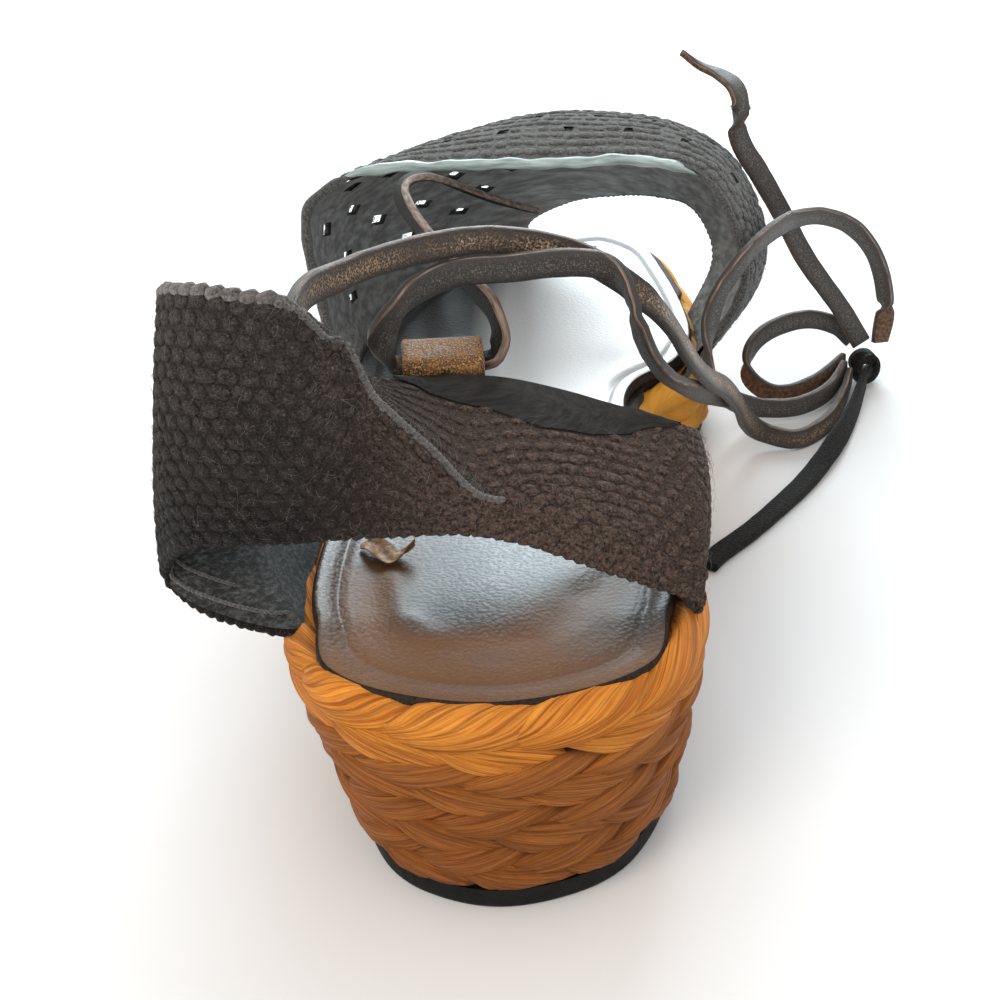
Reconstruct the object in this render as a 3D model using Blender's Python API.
"""Lace-up espadrille for the left foot, standing empty on its sole.

The toe is at +Y, the medial side at +X and the floor at z = 0. The tables are in millimetres
from the heel's rear edge; the meshes are written in metres from the middle of the heel's
flat underside.
"""

import math

import bmesh
import bpy
from mathutils import Vector

MM = 0.001

# The frame's origin, at the middle of the heel's flat underside
ORIGIN = Vector((0.0, 30.0, 0.0))

# Fit between neighbouring pieces
GAP = 0.3

# Sole outline: the plan of the braid's top edge and of the outsole, seen from above.
# along is the distance from the heel, lateral and medial are the distances from the centre line.
SOLE_HEEL = (0.0, 0.0)
SOLE_TOE = (21.0, 248.0)
GROUND_HEEL = (0.0, 4.4)
GROUND_TOE = (21.0, 245.5)
SOLE_OUTLINE = (
    # along, top lateral, top medial, ground lateral, ground medial
    (4.0, -18.0, 17.5, -13.0, 14.0),
    (12.0, -28.3, 28.0, -20.5, 22.5),
    (28.0, -35.0, 34.4, -25.5, 28.5),
    (58.0, -35.6, 34.0, -28.0, 29.5),
    (95.0, -35.0, 31.5, -31.0, 28.5),
    (130.0, -40.5, 30.0, -38.0, 28.0),
    (148.0, -43.0, 32.5, -41.0, 30.5),
    (160.0, -44.4, 42.0, -42.4, 40.0),
    (176.0, -43.6, 47.5, -41.6, 45.5),
    (195.0, -40.0, 47.5, -38.0, 45.5),
    (220.0, -26.5, 43.0, -24.5, 41.0),
    (238.0, -7.0, 36.5, -5.5, 34.5),
)

# Height of the braid's top edge above the floor, and lift of the sole's underside
TOP_HEIGHT = (
    # along, height
    (0.0, 39.8),
    (45.0, 39.8),
    (70.0, 37.6),
    (95.0, 32.6),
    (120.0, 26.4),
    (145.0, 21.6),
    (170.0, 19.8),
    (200.0, 20.0),
    (248.0, 24.6),
)
SPRING_START = 205.0
SPRING_LIFT = 5.0

OUTSOLE_THICK = 3.8
OUTSOLE_EDGE = 0.7
WEDGE_ROUND = 1.8
RAND_THICK = 1.6
RAND_INSET = 2.4
RAND_ROUND = 0.5
INSOLE_THICK = 2.6
INSOLE_INSET = 5.1
INSOLE_LIP = 4.5
HEEL_CUP = 1.4

# Braid round the sole
BRAID_ROW = 5.0
BRAID_STRANDS = 34
BRAID_LEAN = 0.55
BRAID_RELIEF = 1.5

# Where the upper stands on the sole: the rand draws back there to leave it room
SEAT_INSET = 3.1
SEATS = (
    # side, start, end
    ("lateral", 24.0, 92.0),
    ("medial", 27.0, 92.0),
    ("lateral", 150.0, 243.0),
    ("medial", 158.0, 200.0),
)
SEAT_EASE = 6.0
SEAT_MARGIN = 0.4

WALL = 3.0

COLUMNS = 76
BRAID_RINGS = 15


# Curves
def catmull_rom(rows, place):
    """Smooth value through a table whose first column is the place."""
    last = len(rows) - 1
    index = 0
    while index < last - 1 and place > rows[index + 1][0]:
        index += 1
    low, high = rows[index], rows[index + 1]
    span = high[0] - low[0]
    share = (place - low[0]) / span

    def slope(at):
        before, after = rows[max(at - 1, 0)], rows[min(at + 1, last)]
        return [(b - a) / (after[0] - before[0]) for a, b in zip(before[1:], after[1:])]

    start, end = slope(index), slope(index + 1)
    square, cube = share * share, share * share * share
    values = []
    for a, b, m, n in zip(low[1:], high[1:], start, end):
        values.append(
            (2 * cube - 3 * square + 1) * a
            + (cube - 2 * square + share) * span * m
            + (3 * square - 2 * cube) * b
            + (cube - square) * span * n
        )
    return values


def by_distance(points):
    """The points with their running distance as a first column."""
    rows, run = [], 0.0
    for index, point in enumerate(points):
        if index:
            run += math.dist(point[:3], points[index - 1][:3])
        rows.append((run, *point))
    return rows


def ease(share):
    share = min(max(share, 0.0), 1.0)
    return share * share * (3 - 2 * share)


def top_height(along):
    return catmull_rom(TOP_HEIGHT, min(max(along, 0.0), TOP_HEIGHT[-1][0]))[0]


def ground_height(along):
    return SPRING_LIFT * max(0.0, (along - SPRING_START) / (SOLE_TOE[1] - SPRING_START)) ** 2


class Outline:
    """The sole's closed outline, from the heel along the lateral side to the toe and back."""

    def __init__(self):
        scale = (GROUND_TOE[1] - GROUND_HEEL[1]) / SOLE_TOE[1]
        lateral = [(row[1], row[0], row[3], GROUND_HEEL[1] + row[0] * scale) for row in SOLE_OUTLINE]
        medial = [(row[2], row[0], row[4], GROUND_HEEL[1] + row[0] * scale) for row in SOLE_OUTLINE[::-1]]
        heel = (*SOLE_HEEL, *GROUND_HEEL)
        toe = (*SOLE_TOE, *GROUND_TOE)
        loop = [heel, *lateral, toe, *medial]
        wrapped = loop[-2:] + loop + loop[:3]
        run, rows = 0.0, []
        for index, point in enumerate(wrapped):
            if index:
                run += math.dist(point[:2], wrapped[index - 1][:2])
            rows.append((run, *point))
        start, end = rows[2][0], rows[2 + len(loop)][0]
        self.rows = [(row[0] - start, *row[1:]) for row in rows]
        self.round = end - start

    def at(self, run):
        """Top point and ground point in plan."""
        x, y, ground_x, ground_y = catmull_rom(self.rows, run % self.round)
        return Vector((x, y)), Vector((ground_x, ground_y))

    def inward(self, run):
        step = self.round / 720
        along = self.at(run + step)[0] - self.at(run - step)[0]
        return Vector((along.y, -along.x)).normalized()

    def where(self, side, along):
        """Distance round the outline of a place on one side."""
        low, high = 0.0, self.rows[2 + len(SOLE_OUTLINE) + 1][0]
        if side == "medial":
            low, high = self.round, high
        for _ in range(40):
            middle = (low + high) / 2
            if self.at(middle)[0].y < along:
                low = middle
            else:
                high = middle
        return (low + high) / 2

    def side(self, run):
        return "lateral" if run % self.round < self.rows[2 + len(SOLE_OUTLINE) + 1][0] else "medial"

    def seat(self, run, inset=SEAT_INSET, lift=GAP):
        """Place on top of the braid, inset from its edge, where the upper's foot stands."""
        point = self.at(run)[0] + self.inward(run) * inset
        return Vector((point.x, point.y, top_height(point.y) + lift))


OUTLINE = Outline()


# Solids
def material(name, colour, roughness, metallic=0.0):
    made = bpy.data.materials.new(name)
    made.use_nodes = True
    shader = made.node_tree.nodes["Principled BSDF"]
    shader.inputs["Base Color"].default_value = (*colour, 1.0)
    shader.inputs["Roughness"].default_value = roughness
    shader.inputs["Metallic"].default_value = metallic
    return made


def add_mesh(name, points, faces, finish):
    mesh = bpy.data.meshes.new(name)
    mesh.from_pydata([(Vector(point) - ORIGIN) * MM for point in points], [], faces)
    work = bmesh.new()
    work.from_mesh(mesh)
    bmesh.ops.recalc_face_normals(work, faces=work.faces)
    work.to_mesh(mesh)
    work.free()
    mesh.materials.append(finish)
    mesh.shade_smooth()
    mesh.set_sharp_from_angle(angle=math.radians(50))
    made = bpy.data.objects.new(name, mesh)
    bpy.context.scene.collection.objects.link(made)
    return made


def stack(name, rings, finish):
    """A closed solid from equal rings, with strips across its first and last ring."""
    count = len(rings[0])
    points = [point for ring in rings for point in ring]
    faces = []
    for level in range(len(rings) - 1):
        for column in range(count):
            after = (column + 1) % count
            low, high = level * count, (level + 1) * count
            faces.append((low + column, low + after, high + after, high + column))
    for base in (0, (len(rings) - 1) * count):
        for column in range(count // 2):
            corners = [column, column + 1, (count - column - 1) % count, (count - column) % count]
            face = []
            for corner in corners:
                if base + corner not in face:
                    face.append(base + corner)
            faces.append(tuple(face))
    return add_mesh(name, points, faces, finish)


def runs():
    """Places round the outline, as many on the lateral side as on the medial side."""
    toe = OUTLINE.rows[2 + len(SOLE_OUTLINE) + 1][0]
    half = COLUMNS // 2
    lateral = [toe * index / half for index in range(half)]
    medial = [toe + (OUTLINE.round - toe) * index / half for index in range(half)]
    return lateral + medial


def ring(inset, height):
    """One ring at an inset from the top outline; both may depend on the place round it."""
    points = []
    for run in runs():
        amount = inset(run) if callable(inset) else inset
        plan = OUTLINE.at(run)[0] + OUTLINE.inward(run) * amount
        points.append((plan.x, plan.y, height(plan.y)))
    return points


def outsole(finish):
    rings = []
    for inset, lift in ((OUTSOLE_EDGE, 0.0), (0.0, OUTSOLE_EDGE), (0.0, OUTSOLE_THICK)):
        points = []
        for run in runs():
            plan = OUTLINE.at(run)[1] + OUTLINE.inward(run) * inset
            points.append((plan.x, plan.y, ground_height(plan.y) + lift))
        rings.append(points)
    return stack("outsole", rings, finish)


def braid(depth):
    """How far the strands have leant along the sole at a depth below the braid's top edge."""
    lean = abs((depth / BRAID_ROW) % 2 - 1)
    return (lean - 0.5) * BRAID_LEAN * OUTLINE.round / BRAID_STRANDS


def wedge(finish):
    """The sole's body. Each column follows one strand's crown or edge down the side."""
    rings = []
    for level in range(BRAID_RINGS + 1):
        share = level / BRAID_RINGS
        points = []
        for column, run in enumerate(runs()):
            top, ground = OUTLINE.at(run)
            drop = (1 - share) * (top_height(top.y) - ground_height(ground.y) - OUTSOLE_THICK)
            leant = run + braid(drop)
            top, ground = OUTLINE.at(leant)
            base = ground_height(ground.y) + OUTSOLE_THICK + GAP
            rim = top_height(top.y) - WEDGE_ROUND
            relief = BRAID_RELIEF * (0.5 if column % 2 else -0.5)
            if level in (0, BRAID_RINGS):
                relief *= 0.4
            plan = ground.lerp(top, share) - OUTLINE.inward(leant) * relief
            points.append((plan.x, plan.y, base + (rim - base) * share))
        rings.append(points)
    rings.append(ring(WEDGE_ROUND * 0.4, lambda along: top_height(along) - WEDGE_ROUND * 0.3))
    rings.append(ring(WEDGE_ROUND, top_height))
    return stack("wedge", rings, finish)


def rand_inset(run):
    """The rand's edge, drawn back under the insole where the upper stands."""
    side, along = OUTLINE.side(run), OUTLINE.at(run)[0].y
    inset = RAND_INSET
    for seat_side, start, end in SEATS:
        if seat_side != side:
            continue
        share = ease(2 - max(start - along, along - end) / SEAT_EASE)
        inset = max(inset, RAND_INSET + (INSOLE_INSET + SEAT_MARGIN - RAND_INSET) * share)
    return inset


def rand(finish):
    def low(along):
        return top_height(along) + GAP

    def high(along):
        return top_height(along) + GAP + RAND_THICK

    def rounded(run):
        return rand_inset(run) + RAND_ROUND

    rings = [
        ring(rand_inset, low),
        ring(rand_inset, lambda along: high(along) - RAND_ROUND),
        ring(rounded, high),
    ]
    return stack("rand", rings, finish)


def insole(finish):
    def low(along):
        return top_height(along) + 2 * GAP + RAND_THICK

    def dish(along, depth):
        heel = 1 - ease((along - 30.0) / 70.0)
        return low(along) + INSOLE_THICK - depth * (0.35 + 0.65 * heel)

    rings = [
        ring(INSOLE_INSET, low),
        ring(INSOLE_INSET, lambda along: low(along) + INSOLE_THICK * 0.6),
        ring(INSOLE_INSET + 1.2, lambda along: dish(along, 0.0)),
        ring(INSOLE_INSET + INSOLE_LIP, lambda along: dish(along, HEEL_CUP * 0.6)),
        ring(INSOLE_INSET + INSOLE_LIP * 2.4, lambda along: dish(along, HEEL_CUP)),
    ]
    return stack("insole", rings, finish)


# Vamp: the throat edge and the toe edge, each from the lateral foot over the top to the medial foot
THROAT = (
    # share, x, y, z
    (0.16, -44.5, 154.0, 46.0),
    (0.27, -46.5, 160.0, 66.0),
    (0.36, -34.0, 165.0, 73.0),
    (0.50, -12.0, 168.0, 73.0),
    (0.62, 12.0, 168.0, 72.8),
    (0.74, 33.0, 167.0, 72.5),
    (0.84, 47.0, 164.0, 66.0),
    (0.92, 53.0, 158.0, 45.0),
)
TOE_EDGE = (
    # share, x, y, z
    (0.16, 1.0, 241.5, 32.5),
    (0.32, 12.0, 238.5, 39.5),
    (0.50, 24.0, 233.0, 43.0),
    (0.66, 36.0, 224.0, 45.5),
    (0.80, 46.0, 213.0, 45.0),
    (0.90, 50.5, 204.0, 35.0),
)
# How far the wall swells between the two edges
SWELL = (
    # share, outward, up
    (0.00, 0.0, 0.0),
    (0.16, -3.5, 0.0),
    (0.30, -3.5, 3.0),
    (0.45, -1.0, 11.5),
    (0.58, 1.0, 15.5),
    (0.74, 5.0, 12.5),
    (0.88, 6.5, 5.0),
    (1.00, 0.0, 0.0),
)
VAMP_AROUND = 40
VAMP_ALONG = 14


def vamp_feet():
    """Start and end of the wall's foot round the outline, on each side."""
    (_, lateral_start, lateral_end), (_, medial_start, medial_end) = SEATS[2], SEATS[3]
    return (
        (OUTLINE.where("lateral", lateral_start), OUTLINE.where("lateral", lateral_end)),
        (OUTLINE.where("medial", medial_start), OUTLINE.where("medial", medial_end)),
    )


def vamp_surface(along, around):
    """Point of the vamp's middle surface: along from throat to toe, around from lateral to medial."""
    lateral, medial = vamp_feet()

    def foot(pair, share):
        return OUTLINE.seat(pair[0] + (pair[1] - pair[0]) * share)

    def edge(table, share):
        ends = [(0.0, *foot(lateral, float(table is TOE_EDGE)))]
        ends += table
        ends.append((1.0, *foot(medial, float(table is TOE_EDGE))))
        return Vector(catmull_rom(ends, share))

    throat, toe = edge(THROAT, around), edge(TOE_EDGE, around)
    sides = foot(lateral, along) * (1 - around) + foot(medial, along) * around
    edges = throat * (1 - along) + toe * along
    corners = (foot(lateral, 0.0) * (1 - around) + foot(medial, 0.0) * around) * (1 - along)
    corners += (foot(lateral, 1.0) * (1 - around) + foot(medial, 1.0) * around) * along
    outward, up = catmull_rom(SWELL, around)
    swell = Vector((outward, up * 0.25, up)) * math.sin(math.pi * along) ** 0.85
    return sides + edges - corners + swell


def wall(name, grid, feet, open_cells, finish):
    """A wall of even thickness on a grid of middle points, with some cells left open.

    feet names the rows along the grid's first and last column whose end faces lie flat.
    """
    rows, columns = len(grid), len(grid[0])
    outer, inner = [], []
    for row in range(rows):
        for column in range(columns):
            here = grid[row][column]
            down = grid[min(row + 1, rows - 1)][column] - grid[max(row - 1, 0)][column]
            over = grid[row][min(column + 1, columns - 1)] - grid[row][max(column - 1, 0)]
            normal = over.cross(down).normalized()
            if feet(row, column):
                normal.z = 0.0
                normal.normalize()
            outer.append(here + normal * WALL / 2)
            inner.append(here - normal * WALL / 2)
    points = outer + inner
    offset = rows * columns
    faces = []
    used = {}
    for row in range(rows - 1):
        for column in range(columns - 1):
            if (row, column) in open_cells:
                continue
            corners = (
                row * columns + column,
                row * columns + column + 1,
                (row + 1) * columns + column + 1,
                (row + 1) * columns + column,
            )
            faces.append(corners)
            faces.append(tuple(offset + corner for corner in reversed(corners)))
            for start, end in zip(corners, corners[1:] + corners[:1]):
                if (end, start) in used:
                    used.pop((end, start))
                else:
                    used[(start, end)] = True
    for start, end in used:
        faces.append((end, start, offset + start, offset + end))
    return add_mesh(name, points, faces, finish)


def vamp(finish):
    grid = []
    for row in range(VAMP_ALONG + 1):
        line = []
        for column in range(VAMP_AROUND + 1):
            line.append(vamp_surface(row / VAMP_ALONG, column / VAMP_AROUND))
        grid.append(line)
    gaps = set()
    for row in range(2, VAMP_ALONG - 2, 2):
        for column in range(4 + (row // 2) % 2 * 2, VAMP_AROUND - 4, 3):
            gaps.add((row, column))
    return wall("vamp", grid, lambda row, column: column in (0, VAMP_AROUND), gaps, finish)


def seat_at(side, along):
    return tuple(OUTLINE.seat(OUTLINE.where(side, along)))


# Heel band: a row for each section from the medial front round the back to the lateral front.
# Each section runs straight from the lower edge to the bend and on to the top edge, and
# softness is the share of both stretches that the bend rounds off.
HEEL_BAND = (
    # lower edge x, y, z, bend x, y, z, top edge x, y, z, softness
    (*seat_at("medial", 91.0), 31.5, 92.0, 37.0, 32.0, 93.0, 40.0, 1.0),
    (*seat_at("medial", 76.0), 33.5, 76.0, 43.0, 34.0, 76.0, 48.0, 1.0),
    (*seat_at("medial", 60.0), 36.5, 60.0, 48.0, 35.0, 62.0, 56.0, 1.0),
    (*seat_at("medial", 43.0), 38.5, 43.0, 54.0, 33.5, 52.0, 62.0, 1.0),
    (*seat_at("medial", 29.5), 38.0, 30.0, 58.0, 29.0, 51.0, 64.5, 1.0),
    (33.2, 27.0, 44.5, 34.5, 29.0, 60.0, 25.0, 53.5, 65.0, 1.0),
    (26.5, 25.5, 48.5, 28.0, 29.5, 62.0, 20.5, 55.0, 65.3, 0.9),
    (17.5, 23.5, 53.5, 16.5, 28.0, 66.0, 12.0, 56.5, 67.5, 0.7),
    (7.0, 23.0, 58.3, 6.0, 25.5, 67.5, 3.0, 56.5, 70.0, 0.5),
    (-2.0, 24.0, 60.0, -2.0, 23.8, 67.0, -5.0, 55.5, 71.5, 0.3),
    (-8.0, 24.5, 60.0, -9.0, 23.0, 75.0, -12.5, 54.5, 71.8, 0.2),
    (-13.5, 24.5, 59.8, -16.8, 25.0, 84.0, -19.5, 43.5, 77.5, 0.2),
    (-18.0, 24.3, 59.8, -20.8, 23.0, 92.0, -22.0, 31.0, 89.5, 0.3),
    (-24.0, 24.0, 59.8, -25.0, 17.5, 80.0, -26.5, 22.0, 99.5, 0.9),
    (-31.5, 23.5, 59.6, -31.5, 16.5, 80.0, -33.0, 22.0, 101.0, 1.0),
    (-40.0, 24.0, 59.2, -41.5, 18.0, 80.0, -41.0, 25.0, 101.0, 1.0),
    (-47.5, 26.5, 57.5, -49.5, 24.5, 78.0, -47.0, 32.5, 98.0, 1.0),
    (-53.0, 32.0, 51.5, -54.0, 35.0, 72.0, -49.5, 42.0, 92.0, 1.0),
    (-54.5, 34.5, 45.5, -57.0, 44.0, 64.0, -50.5, 53.0, 84.0, 1.0),
    (-46.5, 29.5, 42.2, -56.0, 50.0, 56.0, -49.5, 63.0, 75.0, 1.0),
    (*seat_at("lateral", 26.0), -51.5, 54.0, 52.0, -47.5, 71.0, 66.0, 1.0),
    (*seat_at("lateral", 45.0), -46.0, 63.0, 48.0, -44.0, 78.0, 58.0, 1.0),
    (*seat_at("lateral", 62.0), -41.5, 73.0, 44.0, -41.0, 84.0, 50.0, 1.0),
    (*seat_at("lateral", 77.0), -38.0, 82.0, 41.0, -38.0, 88.0, 45.0, 1.0),
    (*seat_at("lateral", 91.0), -34.5, 92.0, 37.0, -35.0, 93.0, 40.0, 1.0),
)
BAND_FIXED = (4, 20)
BAND_STEPS = 2
BAND_ACROSS = 7


def band_point(place, up):
    """Point of the heel band's middle surface: place between its sections, up from lower edge to top."""
    rows = [(float(index), *row) for index, row in enumerate(HEEL_BAND)]
    values = catmull_rom(rows, place)
    low, bend, top = Vector(values[0:3]), Vector(values[3:6]), Vector(values[6:9])
    if place <= BAND_FIXED[0]:
        low = Vector(seat_at("medial", low.y))
    if place >= BAND_FIXED[1]:
        low = Vector(seat_at("lateral", low.y))
    softness = values[9] / 2
    if up < 0.5 - softness:
        return low.lerp(bend, up * 2)
    if up > 0.5 + softness:
        return bend.lerp(top, up * 2 - 1)
    share = (up - 0.5 + softness) / (2 * softness)
    start, end = bend.lerp(low, 2 * softness), bend.lerp(top, 2 * softness)
    return start.lerp(bend, share).lerp(bend.lerp(end, share), share)


def heel_band(finish):
    columns = (len(HEEL_BAND) - 1) * BAND_STEPS
    grid = []
    for row in range(BAND_ACROSS + 1):
        line = []
        for column in range(columns + 1):
            line.append(band_point(column / BAND_STEPS, row / BAND_ACROSS))
        grid.append(line)

    def stands(row, column):
        place = column / BAND_STEPS
        return row < 2 and (place <= BAND_FIXED[0] + 0.5 or place >= BAND_FIXED[1] - 0.5)

    return wall("heel_band", grid, stands, set(), finish)


# Pull loop: a folded leather strip on the band's top edge at centre back, seen from its end.
# out is the distance beyond the edge, up the distance from the band's middle surface.
LOOP_PLACE = 9.4
LOOP_WIDTH = 14.0
LOOP_OUTSIDE = (
    # out, up
    (0.4, 1.6),
    (1.8, 3.0),
    (9.2, 3.0),
    (11.2, 2.1),
    (12.0, 0.0),
    (11.2, -2.1),
    (9.2, -3.2),
    (-7.0, -4.2),
    (-7.0, -2.8),
    (0.4, -2.4),
)
LOOP_INSIDE = (
    # out, up
    (1.9, 0.6),
    (2.7, 1.6),
    (8.9, 1.6),
    (10.0, 1.1),
    (10.5, 0.0),
    (10.0, -1.1),
    (8.9, -1.7),
    (5.0, -1.7),
    (2.7, -1.7),
    (1.9, -0.6),
)


def loop_frame():
    """Start on the band's top edge, then the directions out, along the edge and up."""
    start = band_point(LOOP_PLACE, 1.0)
    out = (start - band_point(LOOP_PLACE, 0.85)).normalized()
    edge = band_point(LOOP_PLACE - 0.5, 1.0) - band_point(LOOP_PLACE + 0.5, 1.0)
    edge = (edge - out * edge.dot(out)).normalized()
    return start, out, edge, edge.cross(out)


def pull_loop(finish):
    start, out, edge, up = loop_frame()
    count = len(LOOP_OUTSIDE)
    points = []
    for side in (-LOOP_WIDTH / 2, LOOP_WIDTH / 2):
        for outline in (LOOP_OUTSIDE, LOOP_INSIDE):
            for along, height in outline:
                points.append(start + edge * side + out * along + up * height)
    far = 2 * count
    faces = []
    for index in range(count):
        after = (index + 1) % count
        faces.append((index, after, far + after, far + index))
        faces.append((count + after, count + index, far + count + index, far + count + after))
        faces.append((index, count + index, count + after, after))
        faces.append((far + index, far + after, far + count + after, far + count + index))
    return add_mesh("pull_loop", points, faces, finish)


# Lace: flat leather, each piece a route of x, y, z and the ribbon's turn from standing on its edge
LACE_WIDTH = 5.0
LACE_THICK = 1.7
LACE_WING = (
    (-27.5, 24.8, 94.5, 0),
    (-27.5, 32.0, 95.0, 0),
    (-26.6, 40.0, 94.5, 0),
    (-23.5, 50.0, 92.6, 0),
    (-19.4, 58.0, 91.6, 0),
    (-11.1, 68.0, 90.2, 0),
    (-1.7, 76.0, 88.5, 0),
    (7.3, 80.0, 86.0, 0),
    (16.1, 82.0, 82.3, 0),
    (22.9, 82.0, 77.8, -12),
    (28.1, 82.0, 73.2, -45),
    (31.5, 84.0, 68.3, -40),
    (34.4, 88.0, 62.0, -24),
    (37.2, 95.0, 55.0, -22),
    (41.3, 110.0, 44.6, -24),
    (46.8, 130.0, 32.6, -12),
    (51.5, 148.0, 20.0, -5),
    (54.5, 158.0, 11.0, 0),
    (59.0, 163.0, 4.8, 0),
    (67.2, 162.0, 3.0, 0),
    (75.5, 169.6, 3.0, 0),
    (82.0, 184.0, 3.0, 0),
    (85.6, 196.0, 3.6, 0),
)
LACE_PULL = (
    (-9.0, 61.7, 71.7, 90),
    (-15.6, 61.0, 71.7, 90),
    (-17.8, 60.6, 72.4, 85),
    (-18.7, 59.3, 75.5, 60),
    (-18.0, 58.4, 79.3, 40),
    (-16.1, 59.0, 82.4, 20),
    (-13.4, 62.5, 84.3, 8),
    (-9.5, 67.0, 84.9, 0),
    (-4.8, 71.0, 84.7, 0),
    (2.9, 74.0, 83.9, 0),
    (11.2, 75.5, 84.0, 0),
    (17.8, 75.0, 83.8, 0),
    (21.3, 73.8, 82.8, 15),
    (23.3, 72.0, 80.9, 20),
    (24.4, 70.5, 78.3, 28),
    (25.3, 70.0, 74.7, 78),
    (26.5, 71.0, 70.2, 114),
    (28.3, 75.0, 65.0, 114),
    (31.4, 84.0, 57.5, 100),
    (35.5, 100.0, 48.0, 78),
    (41.4, 122.0, 35.5, 45),
    (47.5, 145.0, 23.5, 10),
    (50.7, 160.0, 15.5, 0),
    (54.0, 171.0, 9.0, 0),
    (60.5, 176.5, 4.6, 0),
    (69.6, 178.0, 4.0, 0),
    (78.5, 186.0, 4.0, 0),
    (84.6, 198.6, 4.6, 0),
)
LACE_CURL = (
    (-8.2, 61.8, 71.7, 90),
    (-1.4, 62.4, 71.6, 90),
    (0.5, 62.8, 72.2, 80),
    (1.3, 63.6, 74.3, 42),
    (1.1, 65.5, 76.6, 9),
    (-0.1, 69.5, 78.4, -2),
    (-2.9, 76.5, 78.8, -8),
    (-5.9, 83.0, 79.4, -12),
    (-9.4, 90.0, 80.3, -14),
    (-13.4, 100.0, 80.7, -12),
    (-17.7, 114.0, 80.5, -4),
    (-20.8, 128.0, 79.4, 18),
    (-21.3, 140.0, 78.2, 60),
    (-19.6, 152.0, 75.8, 90),
    (-16.7, 164.0, 71.5, 104),
    (-12.8, 178.0, 64.8, 102),
    (-8.3, 192.0, 57.7, 98),
    (-3.1, 206.0, 50.7, 94),
    (2.9, 219.0, 44.2, 93),
)
LACE_RING = (
    (44.8, 144.5, 27.5, 0),
    (44.3, 147.6, 32.0, 0),
    (44.5, 149.0, 37.9, 0),
    (45.6, 149.8, 43.4, 15),
    (47.4, 150.5, 47.6, 25),
    (49.9, 151.5, 51.0, 20),
    (53.1, 154.0, 54.2, 12),
    (58.2, 163.0, 55.0, 10),
    (63.2, 175.0, 53.2, 10),
    (68.0, 186.0, 50.8, 20),
    (76.1, 195.0, 48.2, 35),
    (85.1, 201.0, 42.6, 50),
    (92.0, 204.0, 33.0, 65),
    (95.4, 205.0, 20.1, 50),
    (94.4, 203.6, 9.8, 20),
)
LACE_LOOP = (
    (85.0, 203.2, 4.6, 0),
    (74.9, 191.0, 3.6, 0),
    (65.6, 186.6, 3.4, 0),
    (59.0, 190.0, 6.5, 0),
    (58.8, 192.5, 12.8, 0),
    (64.0, 197.0, 16.6, 0),
    (74.4, 203.0, 17.1, 0),
    (83.0, 206.0, 13.8, 0),
    (87.6, 207.2, 9.4, 0),
)
LACE_HEEL_END = (
    (89.1, 194.3, 3.3, 0),
    (83.2, 175.8, 2.95, 15),
    (75.6, 157.9, 2.6, 50),
    (68.1, 144.4, 1.4, 85),
    (59.8, 131.8, 1.2, 90),
    (51.6, 120.4, 1.2, 90),
    (44.4, 111.7, 1.2, 90),
    (41.2, 106.8, 1.2, 90),
)
LACE_TIP_END = (
    (89.4, 203.5, 9.9, 0),
    (83.5, 202.5, 20.0, 0),
    (73.2, 199.5, 35.3, 0),
    (66.0, 196.0, 49.3, 0),
    (59.5, 193.0, 61.1, 0),
    (55.6, 191.5, 67.6, 0),
    (53.8, 190.0, 73.3, -25),
    (54.6, 189.5, 78.4, -50),
    (53.6, 193.0, 82.0, -75),
    (50.4, 199.0, 83.6, -85),
    (45.8, 204.0, 84.6, -85),
    (41.5, 207.0, 87.2, -80),
)
KNOT = (
    # x, y, z, turn
    (91.2, 196.0, 4.4, 0),
    (90.2, 200.0, 4.6, 0),
    (89.5, 204.0, 4.6, 0),
)
KNOT_THICK = 7.6
LACE_STEP = 12.0
LACE_FINE_STEP = 7.0


def cord(name, route, finish, step, width=LACE_WIDTH, thick=LACE_THICK):
    """A free cord along a route, flat or round, with a point every step."""
    rows = by_distance(route)
    count = max(2, round(rows[-1][0] / step))
    curve = bpy.data.curves.new(name, "CURVE")
    curve.dimensions = "3D"
    curve.twist_mode = "Z_UP"
    curve.bevel_depth = thick / 2 * MM
    curve.extrude = (width - thick) / 2 * MM
    curve.bevel_resolution = 1
    curve.use_fill_caps = True
    spline = curve.splines.new("POLY")
    spline.points.add(count)
    for index, point in enumerate(spline.points):
        x, y, z, turn = catmull_rom(rows, rows[-1][0] * index / count)
        point.co = (*((Vector((x, y, z)) - ORIGIN) * MM), 1.0)
        point.tilt = math.radians(turn)
    curve.materials.append(finish)
    made = bpy.data.objects.new(name, curve)
    bpy.context.scene.collection.objects.link(made)
    return made


def lace(finish):
    cord("lace_wing", LACE_WING, finish, LACE_STEP)
    cord("lace_pull", LACE_PULL, finish, LACE_FINE_STEP)
    cord("lace_curl", LACE_CURL, finish, LACE_FINE_STEP)
    cord("lace_ring", LACE_RING, finish, LACE_STEP)
    cord("lace_loop", LACE_LOOP, finish, LACE_FINE_STEP)
    cord("lace_heel_end", LACE_HEEL_END, finish, LACE_STEP)
    cord("lace_tip_end", LACE_TIP_END, finish, LACE_FINE_STEP)
    cord("lace_knot", KNOT, finish, KNOT_THICK / 3, KNOT_THICK, KNOT_THICK)


def build():
    for old in list(bpy.data.objects):
        bpy.data.objects.remove(old, do_unlink=True)
    outsole(material("black rubber", (0.012, 0.012, 0.013), 0.7))
    wedge(material("raffia", (0.62, 0.33, 0.11), 0.65))
    rand(material("dark leather", (0.035, 0.022, 0.015), 0.45))
    insole(material("insole leather", (0.03, 0.028, 0.027), 0.4))
    vamp(material("crochet", (0.02, 0.017, 0.016), 0.9))
    heel_band(material("crochet band", (0.022, 0.018, 0.016), 0.9))
    pull_loop(material("loop leather", (0.09, 0.055, 0.035), 0.5))
    lace(material("lace leather", (0.02, 0.017, 0.016), 0.5))


build()
